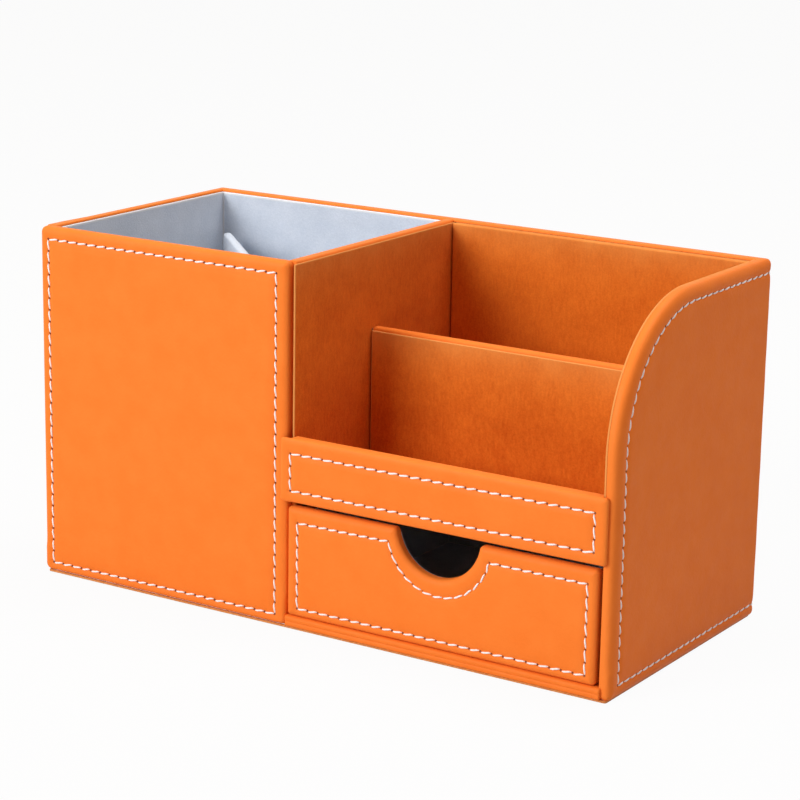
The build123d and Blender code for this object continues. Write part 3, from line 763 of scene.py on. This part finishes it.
def cut_top(limits, radius, left_part, right_part):
    """Top edge with the finger cut: lines, two round corners and the cut's arc, each by its inset.

    The arc's radius grows by the inset. A corner's centre lies below the top by the corner's radius,
    or by the inset past that, and at that radius plus the arc's from the arc's centre.
    """
    x0, x1, z0, z1 = limits
    counts = np.cumsum((len(right_part), CORNER_STEPS, len(cut_arc), CORNER_STEPS))

    def corner_centre(rows):
        shift = np.maximum(cut_corner, rows)
        z = z1 - shift
        return np.sqrt((radius + shift) ** 2 - (cut_z - z) ** 2), z

    def bend(rows, sign, share):
        reach, z = corner_centre(rows)
        left_over = np.maximum(cut_corner - rows, 0)
        turn = np.pi / 2 + share * (np.pi / 2 - np.arctan2(cut_z - z, reach))
        x = cut_x + sign * (reach + left_over * np.cos(turn))
        return np.stack((x, z + left_over * np.sin(turn)), -1)

    def top(inset):
        right_line, right_bend, arc, left_bend, left_line = np.split(inset, counts, axis=1)
        reach, z = corner_centre(right_line)
        right_x = np.maximum(right_part[::-1], cut_x + reach)
        right_x = np.minimum(right_x, x1 - np.maximum(CORNER_HOLD, right_line))
        reach, z = corner_centre(left_line)
        left_x = np.minimum(left_part[::-1], cut_x - reach)
        left_x = np.maximum(left_x, x0 + np.maximum(CORNER_HOLD, left_line))
        reach, z = corner_centre(arc)
        first = np.arctan2(z - cut_z, reach)
        turn = first + cut_arc * (-np.pi - 2 * first)
        arc_x, arc_z = cut_x + (radius + arc) * np.cos(turn), cut_z + (radius + arc) * np.sin(turn)
        return np.concatenate((
            np.stack((right_x, z1 - right_line), -1),
            bend(right_bend, 1, cut_bend),
            np.stack((arc_x, arc_z), -1),
            bend(left_bend, -1, cut_bend[::-1]),
            np.stack((left_x, z1 - left_line), -1),
        ), axis=1)

    return top


def under_cut(left_part, right_part):
    """Places along the bottom edge, one under each of the top edge's points."""
    middle = np.linspace(left_part[-1], right_part[0], 2 * CORNER_STEPS + len(cut_arc) + 2)[1:-1]
    return np.concatenate((left_part, middle, right_part))


# The stitches: along the left edge, the bottom and the right edge, then along the top and round the cut.
front_stitch_x0, front_stitch_x1, front_stitch_z0, front_stitch_z1 = -4.7, 115.6, 8.5, 41.5
front_holes_left = (front_stitch_x0, 41.2)
stitch_arc = np.radians(np.linspace(-12.9, -167.1, 14))
stitch_arc_x, stitch_arc_z, stitch_arc_r = 55.75, 46.3, 21.46
front_holes = np.concatenate((
    hole_row(
        [
            front_holes_left, (front_stitch_x0, front_stitch_z0), (front_stitch_x1, front_stitch_z0),
            (front_stitch_x1, 41.4), (76.7, front_stitch_z1),
        ],
        (7, 26, 7, 9),
    )[:-1],
    np.stack((
        stitch_arc_x + stitch_arc_r * np.cos(stitch_arc), stitch_arc_z + stitch_arc_r * np.sin(stitch_arc),
    ), -1),
    hole_row([(34.8, front_stitch_z1), front_holes_left], [9])[1:],
))
front_left_part = steps((front_x0, front_stitch_x0, 36.3), (5, 18 * PER_STITCH))
front_right_part = steps((73.8, front_stitch_x1, front_x1), (18 * PER_STITCH, 4))
front_up = steps((front_z0, front_stitch_z0, 41.0, front_z1), (5, 7 * 2 * PER_STITCH, 9))
front_top = cut_top(front_limits, cut_r, front_left_part, front_right_part)
front_bottom = under_cut(front_left_part, front_right_part)
front_shape = outline(front_limits, (1.4, 1.4, 1.4, 1.4), front_bottom, front_up, front_top)
drawer_front = covered_panel(
    "drawer_front_padded_leather", front_shape, 4.2, 2.0, 10.5, facing("front", front_plane), leather,
    "drawer", ["drawer_front_leather"], edge_run=2.8, tail=4.0, holes=front_holes, seed=14,
)
sew("drawer_front_stitches", front_holes, stitch_level, facing("front", front_plane), "drawer", seed=24)

# Leather-covered edges
# Thin unpadded leather is glued over the partition, the slot divider and the drawer's box.
# On the two walls only the turned edge shows, because suede and lining cards cover the rest.


def plain_shape(limits, radii, pitch=3.0):
    """Outline of a rectangular card or cover with points a few millimetres apart."""
    across = np.linspace(limits[0], limits[1], int((limits[1] - limits[0]) / pitch) + 2)
    up = np.linspace(limits[2], limits[3], int((limits[3] - limits[2]) / pitch) + 2)
    return outline(limits, radii, across, up)


floor_top, partition_left, slot_floor = 4.4, -12.4, 52.0
slot_divider_rear, slot_divider_depth = -2.0, 3.6
covered_panel(
    "partition_edge_leather",
    plain_shape((inner_front, inner_back, floor_top, wall_top), (0.3, 0.3, 0.3, 0.3), 2.0),
    wall, 1.1, 4.0, facing("right", partition_left), leather, "box", ["partition_leather"],
    back_edge=1.1, filled=False, swell=0.04, seed=15,
)
covered_panel(
    "slot_divider_edge_leather",
    plain_shape((-7.3, 119.9, slot_floor, 105.0), (0.3, 0.3, 1.2, 1.6), 2.0),
    slot_divider_depth, 1.15, 4.0, facing("front", slot_divider_rear), leather, "box",
    ["slot_divider_leather"], back_edge=1.15, filled=False, swell=0.05, seed=16,
)
covered_panel(
    "bay_side_leather",
    plain_shape((-53.9, inner_back, 5.0, rail_z0), (0.2, 0.2, 0.2, 0.2), 4.0),
    0.6, 0.25, 3.0, facing("left", inner_right), leather, "box", ["bay_right_lining"],
    back_edge=0.1, swell=0.03, seed=17,
)

# The drawer's box, right, back and left: outer faces, then the inner faces of its 3.1 mm sides.
box_left, box_right, box_back, box_low, box_high, box_side = -7.4, 119.4, 50.9, 5.3, 45.3, 3.1
inside_left, inside_right, inside_back = -4.3, 116.3, 47.8
box_way, box_run = round_path(
    (box_right, box_left, front_plane, front_plane, box_back), (inside_left, inside_right, inside_back),
    1.2, box_side,
)
box_across = np.union1d(np.linspace(0, box_run[-1], 130), box_run)
box_across = box_across[np.concatenate(([True], np.diff(box_across) > 0.08))]
box_shape = outline(
    (0, box_run[-1], box_low, box_high), (0.4, 0.4, 0.4, 0.4), box_across, np.linspace(box_low, box_high, 22)
)
covered_panel(
    "drawer_box_leather", box_shape, box_side, 0.8, 3.0, box_way, leather, "drawer",
    ["drawer_wrap_leather"], back_edge=0.6, swell=0.03, seed=18,
)

# Base
# A board covered with leather on top and round its front edge, which makes the small ledge
# under the drawer, and a thin backing sheet glued under the whole box.


def carried_profile(name, profile, places, dents, end_cut, material, body, replaces):
    """A profile of y and z points carried along x, with a dent in depth at each place.

    At both ends a flat face closes the part of the profile that lies in front of the end cut.
    """
    x = np.repeat(places[:, None], len(profile), axis=1)
    y = profile[None, :, 0] + dents
    z = np.repeat(profile[None, :, 1], len(places), axis=0)
    index = np.arange(x.size).reshape(x.shape)
    faces = np.stack((index[:-1, :-1], index[:-1, 1:], index[1:, 1:], index[1:, :-1]), -1)
    faces = faces.reshape(-1, 4).tolist()
    lip = profile[:, 0] < end_cut
    faces += [index[0, lip][::-1].tolist(), index[-1, lip].tolist()]
    points = np.stack((x, y, z), -1).reshape(-1, 3)
    return make_piece(name, points, faces, material, body, replaces)


# The profile runs forward along the board's top, round to the front face, down it, and under.
ledge_top, ledge_front, ledge_round = 5.0, -56.9, 1.3
ledge_turn = np.linspace(0, np.pi / 2, 8)
ledge_profile = np.concatenate((
    np.stack((np.linspace(inner_back, -55.0, 40), np.full(40, ledge_top)), -1),
    np.stack((-55.6 - ledge_round * np.sin(ledge_turn), 3.7 + ledge_round * np.cos(ledge_turn)), -1),
    np.stack((np.full(10, ledge_front), np.linspace(3.5, 1.7, 10)), -1),
    np.stack((-56.2 - 0.7 * np.cos(ledge_turn), 1.5 - 0.7 * np.sin(ledge_turn)), -1),
    [(-54.5, 0.8)],
))
ledge_x = np.linspace(-10.0, 121.6, 260)

# A folded seam runs along the front face, a little uneven in depth. Near the right wall the leather
# has a small nick, and past it the ledge stands forward by 0.12 mm.
seam_z, seam_width, seam_depth, nick_x, nick_depth = 2.7, 0.3, 0.24, 119.4, 0.12
fold_depth = seam_depth * np.exp(-(((ledge_profile[:, 1] - seam_z) / seam_width) ** 2))
fold_depth = fold_depth * (ledge_profile[:, 0] < -56)
fold_wave = 1 + 0.35 * np.sin(ledge_x / 17.0) * np.sin(ledge_x / 41.0 + 1)
nick = nick_depth * np.exp(-(((ledge_x - nick_x) / 0.4) ** 2))
nick = nick - nick_depth * np.clip((ledge_x - nick_x - 0.2) / 0.6, 0, 1)
on_front = ledge_profile[None, :, 0] < -55.5
ledge_dents = fold_wave[:, None] * fold_depth[None, :] + nick[:, None] * on_front
carried_profile(
    "base_ledge_folded_leather", ledge_profile, ledge_x, ledge_dents, -54.0, leather, "box",
    ["base_ledge_leather"],
)


def sheet_material():
    """Tan bonded backing sheet: pressed fibres, matt, with fine pale and dark flecks 1.1 mm wide."""
    material, tree, output = empty_material("bonded_backing_sheet")
    where = add_node(tree, "ShaderNodeTexCoord").outputs["Object"]
    fleck = add_node(tree, "ShaderNodeTexNoise", {"Vector": where, "Scale": per_metre(1.11), "Detail": 4.0})
    share = add_node(tree, "ShaderNodeMapRange", {0: fleck.outputs["Fac"], 1: 0.35, 2: 0.65})
    tans = {0: share.outputs[0], 6: linear("#C77A3C"), 7: linear("#DB9250")}
    colour = add_node(tree, "ShaderNodeMix", tans, data_type="RGBA")
    relief = {"Height": fleck.outputs["Fac"], "Strength": 0.4, "Distance": 0.0002}
    bump = add_node(tree, "ShaderNodeBump", relief)
    matt = {"Base Color": colour.outputs[2], "Roughness": 0.85, "Normal": bump.outputs[0]}
    sheet = add_node(tree, "ShaderNodeBsdfPrincipled", matt)
    tree.links.new(sheet.outputs[0], output.inputs["Surface"])
    return material


def board_material():
    """Raw fibreboard inside the covers: brown pressed wood fibre, dull, with 0.8 mm specks."""
    material, tree, output = empty_material("pressed_fibreboard")
    where = add_node(tree, "ShaderNodeTexCoord").outputs["Object"]
    speck = {"Vector": where, "Scale": per_metre(0.833), "Detail": 5.0, "Roughness": 0.7}
    fibre = add_node(tree, "ShaderNodeTexNoise", speck)
    share = add_node(tree, "ShaderNodeMapRange", {0: fibre.outputs["Fac"], 1: 0.3, 2: 0.7})
    browns = {0: share.outputs[0], 6: linear("#8A6A48"), 7: linear("#B08C64")}
    colour = add_node(tree, "ShaderNodeMix", browns, data_type="RGBA")
    relief = {"Height": fibre.outputs["Fac"], "Strength": 0.3, "Distance": 0.0002}
    bump = add_node(tree, "ShaderNodeBump", relief)
    dull = {"Base Color": colour.outputs[2], "Roughness": 0.9, "Normal": bump.outputs[0]}
    board = add_node(tree, "ShaderNodeBsdfPrincipled", dull)
    tree.links.new(board.outputs[0], output.inputs["Surface"])
    return material


sheet_x0, sheet_x1, sheet_y0, sheet_y1, sheet_thick = -124, 124, -56.3, 57.0, 0.7
sheet_shape = outline(
    (sheet_x0, sheet_x1, sheet_y0, sheet_y1), (1.0, 1.0, 1.0, 1.0),
    np.linspace(sheet_x0, sheet_x1, 50), np.linspace(sheet_y0, sheet_y1, 24),
)
covered_panel(
    "bonded_base_sheet", sheet_shape, sheet_thick, 0.1, 2.0, facing("down", sheet_thick),
    sheet_material(), "box", ["base_sheet"], back_edge=0.1, tail=1.0, swell=0.0,
)

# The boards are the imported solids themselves, inside the covers.
fibreboard = board_material()
for name in (
    "base_board", "left_board", "back_board", "right_board", "cup_front_board", "partition_board",
    "cup_divider_board_a", "cup_divider_board_b", "shelf_board", "slot_divider_board", "rail_board",
    "drawer_front_board", "drawer_bottom_board", "drawer_left_board", "drawer_right_board",
    "drawer_back_board",
):
    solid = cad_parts[name].data
    solid.materials.clear()
    solid.materials.append(fibreboard)

# Suede cards
# Thin cards covered with matt orange-brown suede are pushed into the slots: one against each wall,
# both faces of the divider and the floors. Their rounded edges are painted paler, as a painted
# highlight.


def suede_material():
    """Microfibre suede: matt brown-orange nap, brushed upright, softly mottled where hands touched it.

    The real nap is too fine to show, so it is drawn as 0.7 mm tufts and as 1.1 mm streaks, which
    are three times as tall. The mottles are about 17 mm wide. The suede is painted darker low in the
    slots, as painted shade. Near a card's top it is painted paler, as a painted sheen, and its rounded
    edges are painted paler, as a painted highlight.
    """
    material, tree, output = empty_material("brushed_microfibre_suede")
    where = add_node(tree, "ShaderNodeTexCoord").outputs["Object"]
    tall = add_node(tree, "ShaderNodeMapping", {"Vector": where, "Scale": (1.0, 1.0, 0.3)})
    streak_form = {"Vector": tall.outputs[0], "Scale": per_metre(1.11), "Detail": 2.0}
    streak = add_node(tree, "ShaderNodeTexNoise", streak_form)
    mottle_form = {"Vector": where, "Scale": per_metre(16.67), "Detail": 5.0, "Roughness": 0.62}
    mottle = add_node(tree, "ShaderNodeTexNoise", mottle_form)
    nap = add_node(tree, "ShaderNodeTexNoise", {"Vector": where, "Scale": per_metre(0.667), "Detail": 2.0})
    edge = add_node(tree, "ShaderNodeAttribute", attribute_name="edge").outputs["Fac"]
    rim = add_node(tree, "ShaderNodeAttribute", attribute_name="rim").outputs["Fac"]
    weak = add_node(tree, "ShaderNodeMath", {0: streak.outputs["Fac"], 1: 0.35}, operation="MULTIPLY")
    soft = add_node(tree, "ShaderNodeMath", {0: mottle.outputs["Fac"], 1: 0.55}, operation="MULTIPLY")
    both = add_node(tree, "ShaderNodeMath", {0: weak.outputs[0], 1: soft.outputs[0]}, operation="ADD")
    fine = add_node(tree, "ShaderNodeMath", {0: nap.outputs["Fac"], 1: 0.4}, operation="MULTIPLY")
    pile = add_node(tree, "ShaderNodeMath", {0: both.outputs[0], 1: fine.outputs[0]}, operation="ADD")
    # Painted shade: the suede's tone is pushed darker towards the slot floor, where less light reaches.
    height = add_node(tree, "ShaderNodeSeparateXYZ", {"Vector": where}).outputs["Z"]
    low_shade_range = {0: height, 1: slot_floor / 1000, 2: 0.1, 3: -0.22, 4: 0.02}
    painted_low_shade = add_node(tree, "ShaderNodeMapRange", low_shade_range)
    pile_and_low_shade = add_node(tree, "ShaderNodeMath", {0: pile.outputs[0], 1: painted_low_shade.outputs[0]}, operation="ADD")
    share = add_node(tree, "ShaderNodeMapRange", {0: pile_and_low_shade.outputs[0], 1: 0.27, 2: 0.95})
    browns = {0: share.outputs[0], 6: linear("#BA4E0A"), 7: linear("#EA7E25")}
    tone = add_node(tree, "ShaderNodeMix", browns, data_type="RGBA")
    # Painted sheen: near a card's top the suede is painted paler, broken up by the mottles, where its nap
    # catches the light.
    top_sheen_share = add_node(tree, "ShaderNodeMath", {0: rim, 1: mottle.outputs["Fac"]}, operation="MULTIPLY")
    paling = {0: top_sheen_share.outputs[0], 6: tone.outputs[2], 7: linear("#E39A52")}
    paler = add_node(tree, "ShaderNodeMix", paling, data_type="RGBA")
    # Painted highlight: the card's rounded edge is painted paler, where it catches the light.
    edge_share = add_node(tree, "ShaderNodeMapRange", {0: edge, 1: 0.78, 2: 1.0})
    edge_paling = {0: edge_share.outputs[0], 6: paler.outputs[2], 7: linear("#E09550")}
    colour = add_node(tree, "ShaderNodeMix", edge_paling, data_type="RGBA")
    relief = {"Height": pile.outputs[0], "Strength": 0.45, "Distance": 0.00025}
    bump = add_node(tree, "ShaderNodeBump", relief)
    matt = {
        "Base Color": colour.outputs[2],
        "Roughness": 0.95,
        "Specular IOR Level": 0.15,
        "Sheen Weight": 0.12,
        "Sheen Roughness": 0.5,
        "Sheen Tint": linear("#FFA060"),
        "Normal": bump.outputs[0],
    }
    nap_skin = add_node(tree, "ShaderNodeBsdfPrincipled", matt)
    tree.links.new(nap_skin.outputs[0], output.inputs["Surface"])
    return material


CARD_CORNERS = (0.3, 0.3, 0.3, 0.3)


def card(name, shape, way, material, body, slot, node, thickness=0.8, edge=0.3, edge_show=1.0, seed=30):
    """A flat covered card: an even panel with a small edge round and hardly any unevenness."""
    return covered_panel(
        name, shape, thickness, edge, 2.4, way, material, body, [node],
        back_edge=0.1, tail=0.5, row_step=0.5, swell=0.03, seed=seed, edge_show=edge_show,
    )


suede = suede_material()


def suede_card(name, limits, way, node, **finish):
    """One rectangular suede card of the slots."""
    return card(name, plain_shape(limits, CARD_CORNERS), way, suede, "box", "suede", node, **finish)


card_top, partition_face = 136.3, partition_left + wall
divider_card, divider_front = (-6.8, 119.8, slot_floor, 103.7), slot_divider_rear - slot_divider_depth
suede_card(
    "partition_suede_card", (-55.0, inner_back, slot_floor, card_top), facing("right", partition_face),
    "partition_suede", thickness=0.65,
)
suede_card(
    "back_suede_card", (-7.0, 120.0, slot_floor, card_top), facing("front", inner_back), "back_suede",
    thickness=3.0, edge=0.7, edge_show=0.84,
)
divider_front_way, divider_rear_way = facing("front", divider_front), facing("rear", slot_divider_rear)
suede_card("divider_front_suede_card", divider_card, divider_front_way, "slot_divider_front_suede")
suede_card("divider_rear_suede_card", divider_card, divider_rear_way, "slot_divider_rear_suede")
suede_card("rail_suede_card", (-7.2, 119.8, slot_floor, 72.1), facing("rear", rail_plane), "rail_suede")
suede_card("front_slot_suede_card", (-7.4, 120.0, -52.5, -6.4), facing("up", slot_floor), "front_slot_floor")
suede_card("rear_slot_suede_card", (-7.4, 120.0, -1.2, 49.9), facing("up", slot_floor), "rear_slot_floor")

# The card on the right wall has the wall's arch. Opposite sides of it have equally many places.
side_card_front, side_card_high = -55.7, 137.0
side_card_limits = (side_card_front, inner_back, slot_floor, side_card_high)
side_card_flat = np.linspace(side_card_front + arch_radius, inner_back, 30)
side_card_up = np.linspace(slot_floor, side_card_high, 20)
side_card_down = np.linspace(slot_floor, side_card_high - arch_radius, 20)
side_card_arc = np.linspace(side_card_front, side_card_front + arch_radius, 40, endpoint=False)
side_card_bottom = np.concatenate((side_card_arc, side_card_flat))
side_card_top, side_card_left = arched(side_card_limits, arch_radius, side_card_flat, side_card_down, 40)
side_card_shape = outline(
    side_card_limits, (0.3, 0.3, 0.3, arch_radius), side_card_bottom, side_card_up, side_card_top,
    side_card_left,
)
card(
    "right_suede_card", side_card_shape, facing("left", inner_right), suede, "box", "suede", "right_suede",
    seed=36,
)

# Flannelette linings
# Cards covered with pale blue-grey brushed cotton line the cup and the drawer. Their cut edges
# show as a nearly white line.


def flannelette_material():
    """Brushed cotton flannelette: pale blue-grey, fuzzy, soft, with almost white cut edges.

    The real fuzz is too fine to show, so it is drawn in 0.8 mm tufts, over clouds 8 mm wide.
    """
    material, tree, output = empty_material("brushed_cotton_flannelette")
    where = add_node(tree, "ShaderNodeTexCoord").outputs["Object"]
    fuzz_form = {"Vector": where, "Scale": per_metre(0.769), "Detail": 3.0, "Roughness": 0.6}
    fuzz = add_node(tree, "ShaderNodeTexNoise", fuzz_form)
    cloud = add_node(tree, "ShaderNodeTexNoise", {"Vector": where, "Scale": per_metre(8.333), "Detail": 3.0})
    edge = add_node(tree, "ShaderNodeAttribute", attribute_name="edge").outputs["Fac"]
    piled = {0: fuzz.outputs["Fac"], 1: cloud.outputs["Fac"]}
    both = add_node(tree, "ShaderNodeMath", piled, operation="ADD")
    share = add_node(tree, "ShaderNodeMapRange", {0: both.outputs[0], 1: 0.7, 2: 1.3})
    greys = {0: share.outputs[0], 6: linear("#C7D2E1"), 7: linear("#D6DFEC")}
    tone = add_node(tree, "ShaderNodeMix", greys, data_type="RGBA")
    edge_share = add_node(tree, "ShaderNodeMapRange", {0: edge, 1: 0.4, 2: 0.95})
    edge_paling = {0: edge_share.outputs[0], 6: tone.outputs[2], 7: linear("#F2F3F6")}
    colour = add_node(tree, "ShaderNodeMix", edge_paling, data_type="RGBA")
    relief = {"Height": both.outputs[0], "Strength": 0.5, "Distance": 0.00025}
    bump = add_node(tree, "ShaderNodeBump", relief)
    fuzzy = {
        "Base Color": colour.outputs[2],
        "Roughness": 0.95,
        "Specular IOR Level": 0.15,
        "Sheen Weight": 0.3,
        "Sheen Roughness": 0.6,
        "Normal": bump.outputs[0],
    }
    cloth = add_node(tree, "ShaderNodeBsdfPrincipled", fuzzy)
    tree.links.new(cloth.outputs[0], output.inputs["Surface"])
    return material


cotton = flannelette_material()


def lining(node, limits, way, body):
    """One rectangular lining card of the cup or the drawer, named after the solid it stands for."""
    return card(node + "_card", plain_shape(limits, CARD_CORNERS), way, cotton, body, "flannelette", node)


cup_side = (inner_front, inner_back, floor_top, card_top)
cup_width = (-120.0, -13.2, floor_top, card_top)
cup_ground = (-120.0, -13.2, -51.9, 52.1)
lining("cup_left_lining", cup_side, facing("right", inner_left), "box")
lining("cup_right_lining", cup_side, facing("left", partition_left), "box")
lining("cup_front_lining", cup_width, facing("rear", inner_front), "box")
lining("cup_back_lining", cup_width, facing("front", inner_back), "box")
lining("cup_floor_lining", cup_ground, facing("up", floor_top), "box")

drawer_floor, drawer_card_top = 7.3, 44.4
drawer_side = (-52.2, 47.0, drawer_floor, drawer_card_top)
drawer_width = (inside_left, inside_right, drawer_floor, drawer_card_top)
drawer_ground = (-3.5, 115.5, -52.2, 47.0)
lining("drawer_left_lining", drawer_side, facing("right", inside_left), "drawer")
lining("drawer_right_lining", drawer_side, facing("left", inside_right), "drawer")
lining("drawer_back_lining", drawer_width, facing("front", inside_back), "drawer")
lining("drawer_floor_lining", drawer_ground, facing("up", drawer_floor), "drawer")

# The card behind the drawer's front follows the finger cut, 0.3 mm outside the leather's cut.
back_limits = (inside_left, inside_right, drawer_floor, box_high)
back_left_part = np.linspace(inside_left, 36.0, 14)
back_right_part = np.linspace(74.1, inside_right, 15)
back_shape = outline(
    back_limits, CARD_CORNERS, under_cut(back_left_part, back_right_part),
    np.linspace(drawer_floor, box_high, 12),
    cut_top(back_limits, cut_r + 0.3, back_left_part, back_right_part),
)
card(
    "drawer_front_lining_card", back_shape, facing("rear", front_plane), cotton, "drawer", "flannelette",
    "drawer_front_lining", edge_show=0.3, seed=41,
)

# Cup divider
# Two thin boards in flannelette stand across the cup's corners and are halved together, one
# slotted from above and one from below. They stop short of the corners and of the cup's rim.

divider_x, divider_y, divider_low, divider_high = -66.6, 0.1, 5.2, 121.5
divider_half, divider_angle, divider_thick, divider_round = 63.04, 44.24, 3.6, 1.3
halving, halving_half_width = 63.35, 1.95


def halved_board(name, angle, slotted_above, node):
    """A covered board with a slot at its middle: its outline on a plane, thickened and rounded."""
    low_corners = [(-divider_half, divider_low), (divider_half, divider_low)]
    high_corners = [(divider_half, divider_high), (-divider_half, divider_high)]
    slot_side = divider_high if slotted_above else divider_low
    slot = [(-halving_half_width, slot_side), (-halving_half_width, halving)]
    slot += [(halving_half_width, halving), (halving_half_width, slot_side)]
    if slotted_above:
        line = low_corners + high_corners[:1] + slot[::-1] + high_corners[1:]
    else:
        line = low_corners[:1] + slot + low_corners[1:] + high_corners
    line = np.array(line)
    turn = radians(angle)
    x, y = divider_x + line[:, 0] * np.cos(turn), divider_y + line[:, 0] * np.sin(turn)
    points = np.stack((x, y, line[:, 1]), -1)
    piece = make_piece(name, points, [tuple(range(8))], cotton, "box", [node])
    thicken = piece.modifiers.new("thickness", "SOLIDIFY")
    thicken.thickness = divider_thick / 1000
    thicken.offset = 0.0
    bevel = piece.modifiers.new("round_edges", "BEVEL")
    bevel.width = divider_round / 1000
    bevel.segments = 4
    bevel.limit_method = "ANGLE"
    return piece


halved_board("cup_divider_covered_a", -divider_angle, True, "cup_divider_cover_a")
halved_board("cup_divider_covered_b", divider_angle, False, "cup_divider_cover_b")
